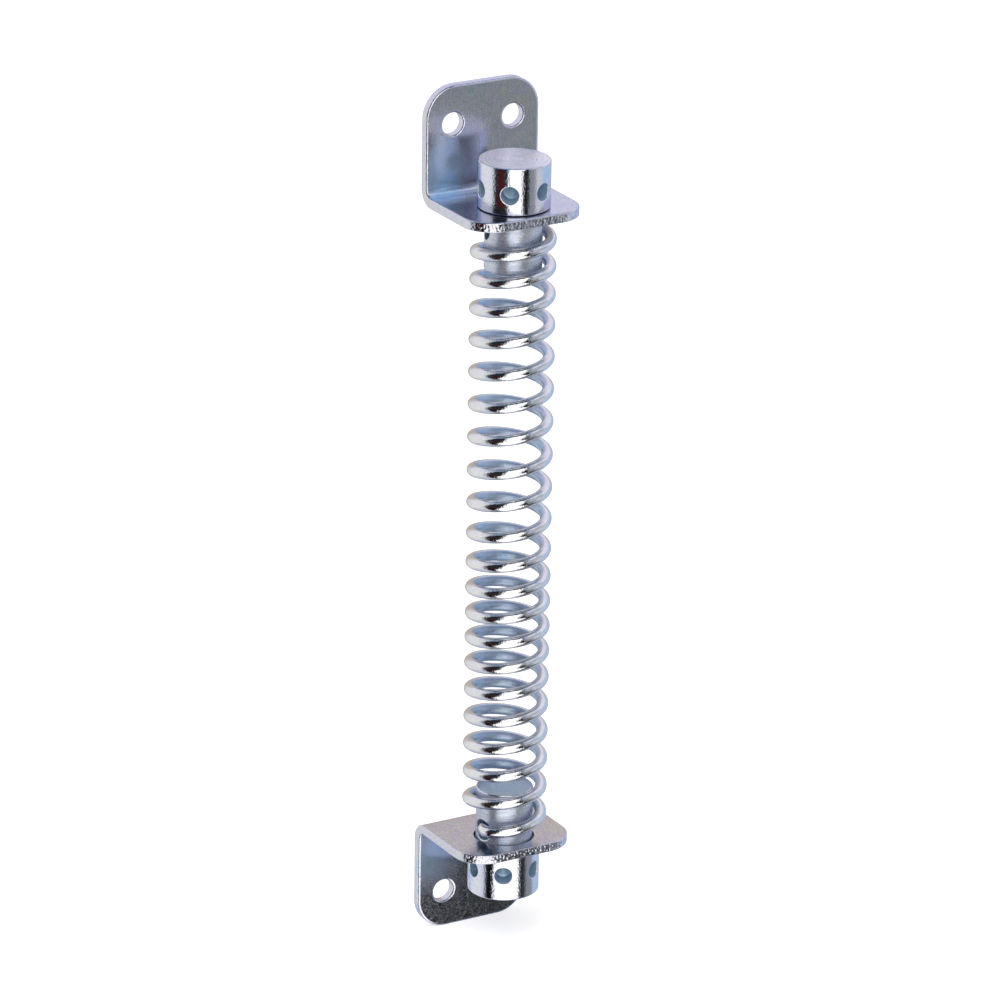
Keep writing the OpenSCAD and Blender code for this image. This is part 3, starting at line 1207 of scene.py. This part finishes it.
@dataclass
class Spring(Piece):
    """Coiled torsion spring whose ends bend in and lie in the adjusters' wire holes."""

    wire_d: float = 3.6
    coil_r: float = 11.2
    bend_r: float = 3.8
    tail: float = 5.5
    lower_entry: float = -170.0
    upper_entry: float = -197.0
    whole_turns: int = 20
    lower_end_z: float = -220.0
    upper_end_z: float = -27.2
    rings_per_turn: int = 60
    sides: int = 28
    # Climb of each turn from the upper end down, and how far a turn's back hangs lower than it would if level
    pitches: Sequence[float] = (
        (8.4, 8.5, 9.2, 10.1, 10.1, 10.3, 10.4, 10.7, 10.2, 10.0, 9.3)
        + (8.3, 8.1, 8.0, 8.3, 8.8, 8.9, 9.0, 9.1, 9.1, 9.0)
    )
    sag: float = 0.4
    # Direction of a turn's back, in degrees from +X
    back: float = 60.0
    bend_rings: int = 14
    # Lengths of wire from the upper end down, and from the lower end up, that sit with each adjuster
    upper_hold: float = 4.4
    lower_hold: float = 2.6

    @property
    def lead(self) -> float:
        """Angle round the coil that each end's bend takes, in degrees."""
        return math.degrees(math.asin(self.bend_r / (self.coil_r - self.bend_r)))

    @property
    def angle(self) -> float:
        """Angle that the coil goes round between its bends, in degrees."""
        return 360 * self.whole_turns + (self.upper_entry - self.lower_entry) % 360 - 2 * self.lead

    def climbs(self, count: int, rise: float) -> np.ndarray:
        """Gives the coil's height above its lower end, step by step.

        Args:
            count: Number of even steps.
            rise: Height of the whole coil.

        Returns:
            Heights at the ends of the steps, from nought up.
        """
        turns = self.angle / 360
        along = (np.arange(count) + 0.5) / count * turns
        marks = turns - (np.arange(len(self.pitches)) + 0.5)
        climb = np.interp(along, marks[::-1], np.array(self.pitches)[::-1])
        climbs = np.concatenate([[0.0], np.cumsum(climb)])
        return climbs * (rise / climbs[-1])

    def path(self) -> list[Vector]:
        """Follows the wire's centre from its lower end to its upper one.

        Returns:
            Points in millimetres round the spring's own axis.
        """
        coil_r, bend_r, lead = self.coil_r, self.bend_r, self.lead
        foot = (coil_r - bend_r) * math.cos(math.radians(lead))
        sweep = 90 + lead
        turns = self.angle / 360
        rise = self.upper_end_z - self.lower_end_z
        bend_climb = rise / turns * bend_r * sweep / 360 / (2 * coil_r)
        steps = math.ceil(turns * self.rings_per_turn)
        climbs = self.climbs(steps, rise - 2 * bend_climb)
        # The sag dies away over the first turn and the last
        share = np.arange(steps) / steps * turns
        loose = self.sag * ease(share) * ease(turns - share)
        turned = self.lower_entry + lead + self.angle * np.arange(steps) / steps
        heights = self.lower_end_z + bend_climb + climbs[:-1] - loose * np.cos(np.radians(turned - self.back))
        coil = [coil_r * spoke(float(a)) + level(float(z)) for a, z in zip(turned[1:], heights[1:])]
        shares = [i / self.bend_rings for i in range(self.bend_rings + 1)]
        low = [
            (coil_r - bend_r) * spoke(self.lower_entry + lead)
            + bend_r * spoke(self.lower_entry - 90 + sweep * t)
            + level(self.lower_end_z + bend_climb * t**2)
            for t in shares
        ]
        high = [
            (coil_r - bend_r) * spoke(self.upper_entry - lead)
            + bend_r * spoke(self.upper_entry - lead + sweep * t)
            + level(self.upper_end_z - bend_climb * (1 - t) ** 2)
            for t in shares
        ]
        ends = [
            [(foot - self.tail * t) * spoke(entry) + level(z) for t in (1.0, 0.66, 0.33)]
            for entry, z in ((self.lower_entry, self.lower_end_z), (self.upper_entry, self.upper_end_z))
        ]
        return ends[0] + low + coil + high + ends[1][::-1]

    def build(self) -> bpy.types.Object:
        """Makes the spring, whose ends are bent into the adjusters' wire holes.

        Returns:
            The finished piece.
        """
        points = self.path()
        radius = self.wire_d / 2
        skin = Skin()
        travelled = 0.0
        before: list[Corner] = []
        count = len(points)
        for i, point in enumerate(points):
            along = (points[min(i + 1, count - 1)] - points[max(i - 1, 0)]).normalized()
            rise = (level(1.0) - along.z * along).normalized()
            side = rise.cross(along)
            travelled += (point - points[i - 1]).length if i else 0.0
            now = []
            for j in range(self.sides + 1):
                a = 2 * math.pi * j / self.sides
                out = side * math.cos(a) + rise * math.sin(a)
                now.append(Corner(point + out * radius, out, (j / self.sides, travelled)))
            if before:
                skin.strip(before, now, closed=False)
            if i in (0, count - 1):
                cut = -along if i == 0 else along
                disc = [Corner(c.place, cut, c.surface) for c in now[:-1]]
                for one, other in zip(disc, disc[1:] + disc[:1]):
                    skin.face((one, other, Corner(point, cut, one.surface)))
            before = now
        made = skin.piece("coiled_wire", Matrix.Translation((0, HUB_Y, 0)), (WIRE.material(),))
        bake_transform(made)
        self.settle(made)
        return made


# ---------------------------------------------------------------------------------------------------------- studio


@dataclass(frozen=True)
class Card:
    """A sheet, gap or softbox of the studio tent, as a span of angles round from the camera's side."""

    light: str
    # Left and right edges where the upper bracket mirrors the tent, and where the lower one does if that differs
    upper: Flat = (-180, 180)
    lower: Flat | None = None
    level: float = 1.0
    # Lowest and highest height in metres, going on over the tent's top and bottom towards their middles
    rise: Flat = (-9.0, 9.0)
    # How far the upright edges fade, in degrees, and the level ones, in metres
    soft: float = 2.0
    soft_rise: float = 0.03
    # How many degrees the right edge leans outwards in each metre above the upper level
    lean: float = 0.0


@dataclass
class Studio:
    """Floor, tent, lamps and camera.

    The object is all bright metal, so what it mirrors is what it looks like. As a photographer does, the studio
    stands it in a white tent with dark gaps between the sheets: the tent is seen by the metal alone.
    """

    floor_z: float = -0.261
    floor_half: float = 6.0
    tent_r: float = 0.6
    tent_low: float = -1.3
    tent_high: float = 1.1
    # Columns all round, rows up the side, and rows from the side to the middle of the top and of the bottom
    columns: int = 720
    rows: int = 241
    cap_rows: int = 40
    # Heights of the tent that the upper bracket and the lower one mirror towards the camera
    upper_level: float = -0.245
    lower_level: float = -0.465
    # Flat directions from the object to the camera and to the camera's right
    toward: Vector = field(default_factory=lambda: Vector((-0.502, -0.865, 0.0)))
    right: Vector = field(default_factory=lambda: Vector((0.8674, -0.4976, 0.0)))
    # Where the lamp hangs, its width in metres and its watts, and the point that it lights
    lamp_place: Vector = field(default_factory=lambda: Vector((-0.9, -1.0, 1.9)))
    lamp_size: float = 1.6
    lamp_power: float = 26.0
    lamp_aim: Vector = field(default_factory=lambda: Vector((0, HUB_Y * MM, -0.2)))
    # Focal length in millimetres on a 36 mm frame, and where the camera stands and which way is right and up in it
    lens: float = 218.99
    camera_place: Vector = field(default_factory=lambda: Vector((-0.865903, -1.507106, 0.530068)))
    camera_right: Vector = field(default_factory=lambda: Vector((0.86732663, -0.49752635, 0.01456184)))
    camera_up: Vector = field(default_factory=lambda: Vector((0.16292657, 0.31142739, 0.93619865)))
    cards: Sequence[Card] = field(
        default_factory=lambda: (
            # Sheets all round, pale and a little cool; warmer and greyer low behind
            Card("#E2E4EA"),
            Card("#DFE5F2", rise=(-9.0, -0.3), soft_rise=0.3),
            Card("#E1D3C6", (150, 215), (130, 215), rise=(-0.6, 0.06), soft=30.0, soft_rise=0.1),
            Card("#E0D3C8", (-180, -150), (-180, -130), rise=(-0.6, 0.06), soft=30.0, soft_rise=0.1),
            Card("#D0E2F8", (95, 160), (110, 160), rise=(-1.3, 0.5), soft=20.0, soft_rise=0.2),
            Card("#F6F7F6", (-150, -72), level=1.1, rise=(-0.62, 0.3), soft=26.0, soft_rise=0.2),
            # Bright sheet behind, which the upper faces mirror
            Card("#F6F2FF", (105, 255), level=1.12, rise=(0.1, 0.5), soft=30.0, soft_rise=0.12),
            # Blue dusk of the room above the back sheets, and the dark gap overhead
            Card("#9DB5D8", rise=(0.62, 9.0), soft_rise=0.3),
            Card("#24282E", (-62, 62), rise=(0.98, 9.0), soft=20.0, soft_rise=0.12),
            # Small softbox high on the right, the blue-grey sheet under it and the grey one lower still
            Card("#FFFFFF", (66, 112), level=1.1, rise=(0.56, 0.96), soft=8.0, soft_rise=0.06),
            Card("#C4CAD9", (46, 102), rise=(0.02, 0.52), soft=14.0, soft_rise=0.1),
            Card("#858C8C", (46, 68), (48, 96), rise=(-1.0, -0.33), soft=4.0, soft_rise=0.1),
            Card("#9AA1A3", (46, 70), (46, 80), rise=(-0.36, 0.0), soft=7.0, soft_rise=0.1),
            Card("#9A9EA4", (72, 108), rise=(-2.0, -0.4), soft=12.0, soft_rise=0.12),
            Card("#303336", (46, 76), rise=(-2.0, -0.4), soft=7.0, soft_rise=0.12),
            # Dark gaps left and right of the camera, with a warm dark card in the left one
            Card("#17181A", (-66, -15), (-62, -28), rise=(-1.5, -0.14), soft=1.4, soft_rise=0.08),
            Card("#2B2E31", (-70, -15), rise=(-0.14, 0.75), soft=3.0, soft_rise=0.08),
            Card("#501E24", (-51, -31), (-44, -42), rise=(-0.34, -0.1), soft=1.6, soft_rise=0.06),
            Card("#17181A", (22, 47), (44, 54), rise=(-1.2, 0.1), soft=1.8, soft_rise=0.2),
            Card("#2A2E32", (22, 36), rise=(0.1, 9.0), soft=3.0, soft_rise=0.2, lean=24.0),
            # Softbox round the camera, which shows in it as a thin dark line
            Card("#FFFFFF", (-17, 24), (-30, 48), level=1.7, rise=(-1.9, 0.95), soft=1.2, soft_rise=0.2, lean=24.0),
            Card("#50545A", (3, 20), rise=(0.085, 0.11), soft=3.0, soft_rise=0.015),
        )
    )

    def tones(self, around: np.ndarray, height: float) -> np.ndarray:
        """Gives the tent's light at one height.

        Args:
            around: Angles from the camera's side, positive to its right, in degrees.
            height: Height in metres, going on over the tent's top and bottom.

        Returns:
            Linear red, green, blue and alpha for each angle.
        """
        t = np.clip((height - self.lower_level) / (self.upper_level - self.lower_level), -0.2, 1.0)
        found = np.zeros((len(around), 4))
        for card in self.cards:
            left, right = (b + (a - b) * t for a, b in zip(card.upper, card.lower or card.upper))
            right += card.lean * max(height - self.upper_level, 0.0)
            share = ease((height - card.rise[0]) / card.soft_rise + 0.5)
            share = share * ease((card.rise[1] - height) / card.soft_rise + 0.5)
            if right - left < 359:
                spans = [
                    ease((a - left) / card.soft + 0.5) * ease((right - a) / card.soft + 0.5)
                    for a in (around, around + 360)
                ]
                share = share * np.maximum(*spans)
            share = np.broadcast_to(share, around.shape)[:, None]
            light = np.array(linear(card.light)) * (card.level, card.level, card.level, 1)
            found = found * (1 - share) + light * share
        return found

    def tent(self) -> bpy.types.Object:
        """Stands the tent round the object.

        Returns:
            The tent, which only the metal sees.
        """
        columns, r = self.columns, self.tent_r
        cap = np.linspace(0.02, 0.98, self.cap_rows)
        profile = [(r * t, self.tent_low, self.tent_low - r * (1 - t)) for t in cap]
        profile += [(r, z, z) for z in np.linspace(self.tent_low, self.tent_high, self.rows)]
        profile += [(r * t, self.tent_high, self.tent_high + r * (1 - t)) for t in reversed(cap)]
        around = 360 * np.arange(columns) / columns - 180
        places, tones = [], []
        for out, z, height in profile:
            for a in np.radians(around):
                p = (self.toward * math.cos(a) + self.right * math.sin(a)) * out
                places.append((p.x, p.y + HUB_Y * MM, z))
            tones.append(self.tones(around, height))
        faces = [tuple(range(columns)), tuple(range(columns * (len(profile) - 1), columns * len(profile)))]
        for j in range(len(profile) - 1):
            for i in range(columns):
                k = (i + 1) % columns
                faces.append((j * columns + i, j * columns + k, (j + 1) * columns + k, (j + 1) * columns + i))
        mesh = bpy.data.meshes.new("studio_tent")
        mesh.from_pydata(places, [], faces)
        colour = mesh.color_attributes.new("sheet", "FLOAT_COLOR", "POINT")
        colour.data.foreach_set("color", np.concatenate(tones).ravel())
        tent = stand("studio_tent", mesh)
        n = Nodes(bpy.data.materials.new("white_tent_sheet"))
        sheet = n.add("VertexColor", {"layer_name": "sheet"})
        glow = n.add("Emission", Color=sheet, Strength=1.0)
        n.add("OutputMaterial", Surface=glow)
        mesh.materials.append(n.owner)
        for ray in ("camera", "diffuse", "transmission", "volume_scatter", "shadow"):
            setattr(tent, f"visible_{ray}", False)
        return tent

    def floor(self) -> bpy.types.Object:
        """Lays the pale floor.

        Returns:
            The floor, which keeps the object's shadow.
        """
        mesh = bpy.data.meshes.new("studio_floor")
        half = self.floor_half
        corners = [(x * half, y * half, self.floor_z) for x, y in ((-1, -1), (1, -1), (1, 1), (-1, 1))]
        mesh.from_pydata(corners, [], [(0, 1, 2, 3)])
        floor = stand("studio_floor", mesh)
        n = Nodes(bpy.data.materials.new("matt_white_table_paper"))
        rays = n.add("LightPath")
        paper = n.add("BsdfDiffuse", Color=linear("#F4F4F4"))
        seen = n.add("Emission", Color=linear("#FFFFFF"), Strength=0.5)
        none = n.add("Emission", Color=linear("#000000"), Strength=0.0)
        lift = n.add("MixShader", n0=rays.outputs["Is Camera Ray"], n1=none, n2=seen)
        both = n.add("AddShader", n0=paper, n1=lift)
        n.add("OutputMaterial", Surface=both)
        mesh.materials.append(n.owner)
        floor.visible_glossy = False
        return floor

    def world(self) -> None:
        """Gives the air its plain white light, at a strength of one for the camera and for the metal."""
        world = bpy.data.worlds.new("white_air")
        bpy.context.scene.world = world
        n = Nodes(world)
        rays = n.add("LightPath").outputs
        most = {"operation": "MAXIMUM"}
        pair = n.add("Math", most, n0=rays["Is Camera Ray"], n1=rays["Is Glossy Ray"])
        seen = n.add("Math", most, n0=pair, n1=rays["Is Transmission Ray"])
        strength = n.add("MapRange", Value=seen, n3=0.62, n4=1.0)
        air = n.add("Background", Color=linear("#FFFFFF"), Strength=strength)
        n.add("OutputWorld", Surface=air)

    def lamp(self) -> bpy.types.Object:
        """Hangs one large soft lamp, which gives the floor its shadow.

        Returns:
            The lamp.
        """
        data = bpy.data.lights.new("soft_lamp", "AREA")
        data.shape = "SQUARE"
        data.size = self.lamp_size
        data.energy = self.lamp_power
        lamp = stand("soft_lamp", data)
        lamp.location = self.lamp_place
        lamp.rotation_mode = "QUATERNION"
        lamp.rotation_quaternion = (self.lamp_aim - self.lamp_place).to_track_quat("-Z", "Y")
        lamp.visible_glossy = False
        return lamp

    def camera(self) -> bpy.types.Object:
        """Sets the camera where the photograph was taken from.

        Returns:
            The camera.
        """
        data = bpy.data.cameras.new("camera")
        data.sensor_width = 36.0
        data.lens = self.lens
        data.clip_start, data.clip_end = 0.05, 50.0
        made = stand("camera", data)
        back = self.camera_right.cross(self.camera_up)
        turn = Matrix((self.camera_right, self.camera_up, back)).transposed().to_4x4()
        made.matrix_world = Matrix.Translation(self.camera_place) @ turn
        bpy.context.scene.camera = made
        return made

    def build(self) -> None:
        """Makes the whole studio."""
        bpy.context.scene.view_settings.view_transform = "Standard"
        self.camera()
        self.world()
        self.floor()
        self.tent()
        self.lamp()


def main() -> None:
    """Builds the studio and the closer's five pieces in order."""
    logging.basicConfig(level=logging.INFO, format="%(name)s %(message)s")
    Studio().build()
    Bracket("upper_bracket", "upper_bracket", "bracket_steel", End.UPPER, flange_z=-24.5).build()
    Bracket("lower_bracket", "lower_bracket", "bracket_steel", End.LOWER, flange_z=-224.5).build()
    Adjuster("upper_adjuster", "upper_adjuster", "adjuster_steel", End.UPPER, shoulder_z=-21.3, turn=-97.0).build()
    Adjuster("lower_adjuster", "lower_adjuster", "adjuster_steel", End.LOWER, shoulder_z=-227.7, turn=-90.0).build()
    Spring("spring", "lower_adjuster", "spring_wire").build()


if __name__ == "__main__":
    main()
